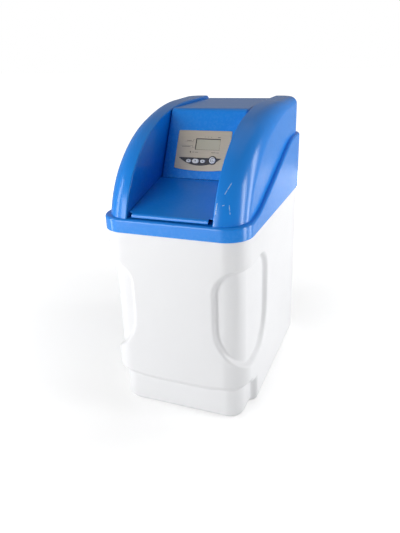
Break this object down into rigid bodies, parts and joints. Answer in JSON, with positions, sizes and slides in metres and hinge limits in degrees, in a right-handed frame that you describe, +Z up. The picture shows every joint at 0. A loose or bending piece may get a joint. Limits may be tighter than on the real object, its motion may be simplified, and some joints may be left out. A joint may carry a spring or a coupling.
{
  "type": "water softener",
  "caption": "Tall cabinet water softener with a glossy winged cover, sloping control panel, hinged salt lid, and a resin vessel, valve, bypass and brine well inside.",
  "frame": {"origin": "middle of the cabinet's footprint, on the floor", "axes": "+X to the right seen from the front, +Y to the back, +Z up"},
  "size_m": [0.32, 0.6153, 0.6449],
  "materials": {
    "blue_gloss": "glossy moulded blue",
    "white_satin": "satin moulded white",
    "panel_silver": "satin metal-look plate",
    "panel_dark": "dark matt band",
    "key_white": "satin white key",
    "lcd": "grey-green display",
    "led": "clear tinted light",
    "case_black": "matt black moulding",
    "board_green": "coated circuit board",
    "steel": "zinc-plated steel",
    "vessel_grey": "wound resin vessel",
    "resin_amber": "ion-exchange beads",
    "valve_black": "glass-filled black moulding",
    "pipe_white": "white moulded pipe",
    "ceramic_white": "ground ceramic disc",
    "gear_natural": "natural acetal",
    "rubber_black": "soft black rubber",
    "brass": "turned brass",
    "lever_red": "moulded red",
    "float_white": "white moulding",
    "tube_clear": "semi-clear tube"
  },
  "bodies": {
    "cabinet": {"cabinet": "white_satin", "vessel": "vessel_grey", "vessel_boot": "case_black", "resin_bed": "resin_amber", "riser_tube": "pipe_white", "lower_basket": "float_white", "upper_basket": "float_white", "neck_seal": "rubber_black", "valve_body": "valve_black", "fixed_disc": "ceramic_white", "bonnet": "valve_black", "bonnet_screws": "steel", "spindle_seal": "rubber_black", "drive_motor": "steel", "gear_bracket": "steel", "bracket_screws": "steel", "inlet_port_nut": "valve_black", "outlet_port_nut": "valve_black", "port_washers": "rubber_black", "bypass_body": "valve_black", "inlet_tail_nut": "brass", "outlet_tail_nut": "brass", "tail_washers": "rubber_black", "inlet_tail": "brass", "outlet_tail": "brass", "drain_tail": "valve_black", "brine_well": "pipe_white", "safety_valve": "pipe_white", "pickup_tube": "pipe_white", "air_check": "tube_clear", "brine_tube": "tube_clear", "overflow_spigot": "valve_black", "overflow_nut": "valve_black", "overflow_gasket": "rubber_black"},
    "cover": {"cover": "blue_gloss", "hood": "blue_gloss", "hood_screws": "steel", "faceplate": "panel_silver", "display_screen": "lcd", "status_led": "led", "key_surround": "panel_dark", "controller_case": "case_black", "circuit_board": "board_green", "key_switches": "case_black", "case_screws": "steel"},
    "lid": {"salt_lid": "blue_gloss"},
    "key_down": {"button_down": "key_white"},
    "key_set": {"button_set": "key_white"},
    "key_up": {"button_up": "key_white"},
    "key_regenerate": {"button_regenerate": "key_white"},
    "plug_inlet": {"bypass_plug_inlet": "lever_red"},
    "plug_outlet": {"bypass_plug_outlet": "lever_red"},
    "disc": {"drive_gear": "gear_natural", "spindle": "steel", "moving_disc": "ceramic_white"},
    "pinion": {"motor_pinion": "steel"},
    "float": {"float": "float_white", "float_rod": "steel"},
    "cap": {"well_cap": "case_black"}
  },
  "joints": [
    {"name": "cover_lift", "type": "slide", "parent": "cabinet", "child": "cover", "axis": [0, 0, 1], "range_m": [0, 0.22]},
    {"name": "salt_lid_hinge", "type": "hinge", "parent": "cover", "child": "lid", "pos_m": [0, -0.092, 0.491], "axis": [-1, 0, 0], "range_deg": [0, 110]},
    {"name": "key_down_press", "type": "slide", "parent": "cover", "child": "key_down", "axis": [0, 0.8805, -0.4741], "range_m": [0, 0.0012], "stiffness_N_per_m": 700, "springref_m": -0.0008},
    {"name": "key_set_press", "type": "slide", "parent": "cover", "child": "key_set", "axis": [0, 0.8805, -0.4741], "range_m": [0, 0.0012], "stiffness_N_per_m": 700, "springref_m": -0.0008},
    {"name": "key_up_press", "type": "slide", "parent": "cover", "child": "key_up", "axis": [0, 0.8805, -0.4741], "range_m": [0, 0.0012], "stiffness_N_per_m": 700, "springref_m": -0.0008},
    {"name": "key_regenerate_press", "type": "slide", "parent": "cover", "child": "key_regenerate", "axis": [0, 0.8805, -0.4741], "range_m": [0, 0.0012], "stiffness_N_per_m": 700, "springref_m": -0.0008},
    {"name": "inlet_plug_turn", "type": "hinge", "parent": "cabinet", "child": "plug_inlet", "pos_m": [0.038, 0.292, 0.505], "axis": [0, 0, 1], "range_deg": [0, 90]},
    {"name": "outlet_plug_turn", "type": "hinge", "parent": "cabinet", "child": "plug_outlet", "pos_m": [-0.038, 0.292, 0.505], "axis": [0, 0, 1], "range_deg": [-90, 0]},
    {"name": "disc_turn", "type": "hinge", "parent": "cabinet", "child": "disc", "pos_m": [0, 0.09, 0.536], "axis": [0, 1, 0], "continuous": true},
    {"name": "pinion_turn", "type": "hinge", "parent": "cabinet", "child": "pinion", "pos_m": [0.03964, 0.08, 0.56926], "axis": [0, 1, 0], "continuous": true},
    {"name": "float_rise", "type": "slide", "parent": "cabinet", "child": "float", "axis": [0, 0, 1], "range_m": [0, 0.02]},
    {"name": "well_cap_lift", "type": "slide", "parent": "cabinet", "child": "cap", "axis": [0, 0, 1], "range_m": [0, 0.02]}
  ],
  "couplings": [
    {"joint": "pinion_turn", "follows": "disc_turn", "ratio": -3.6}
  ]
}
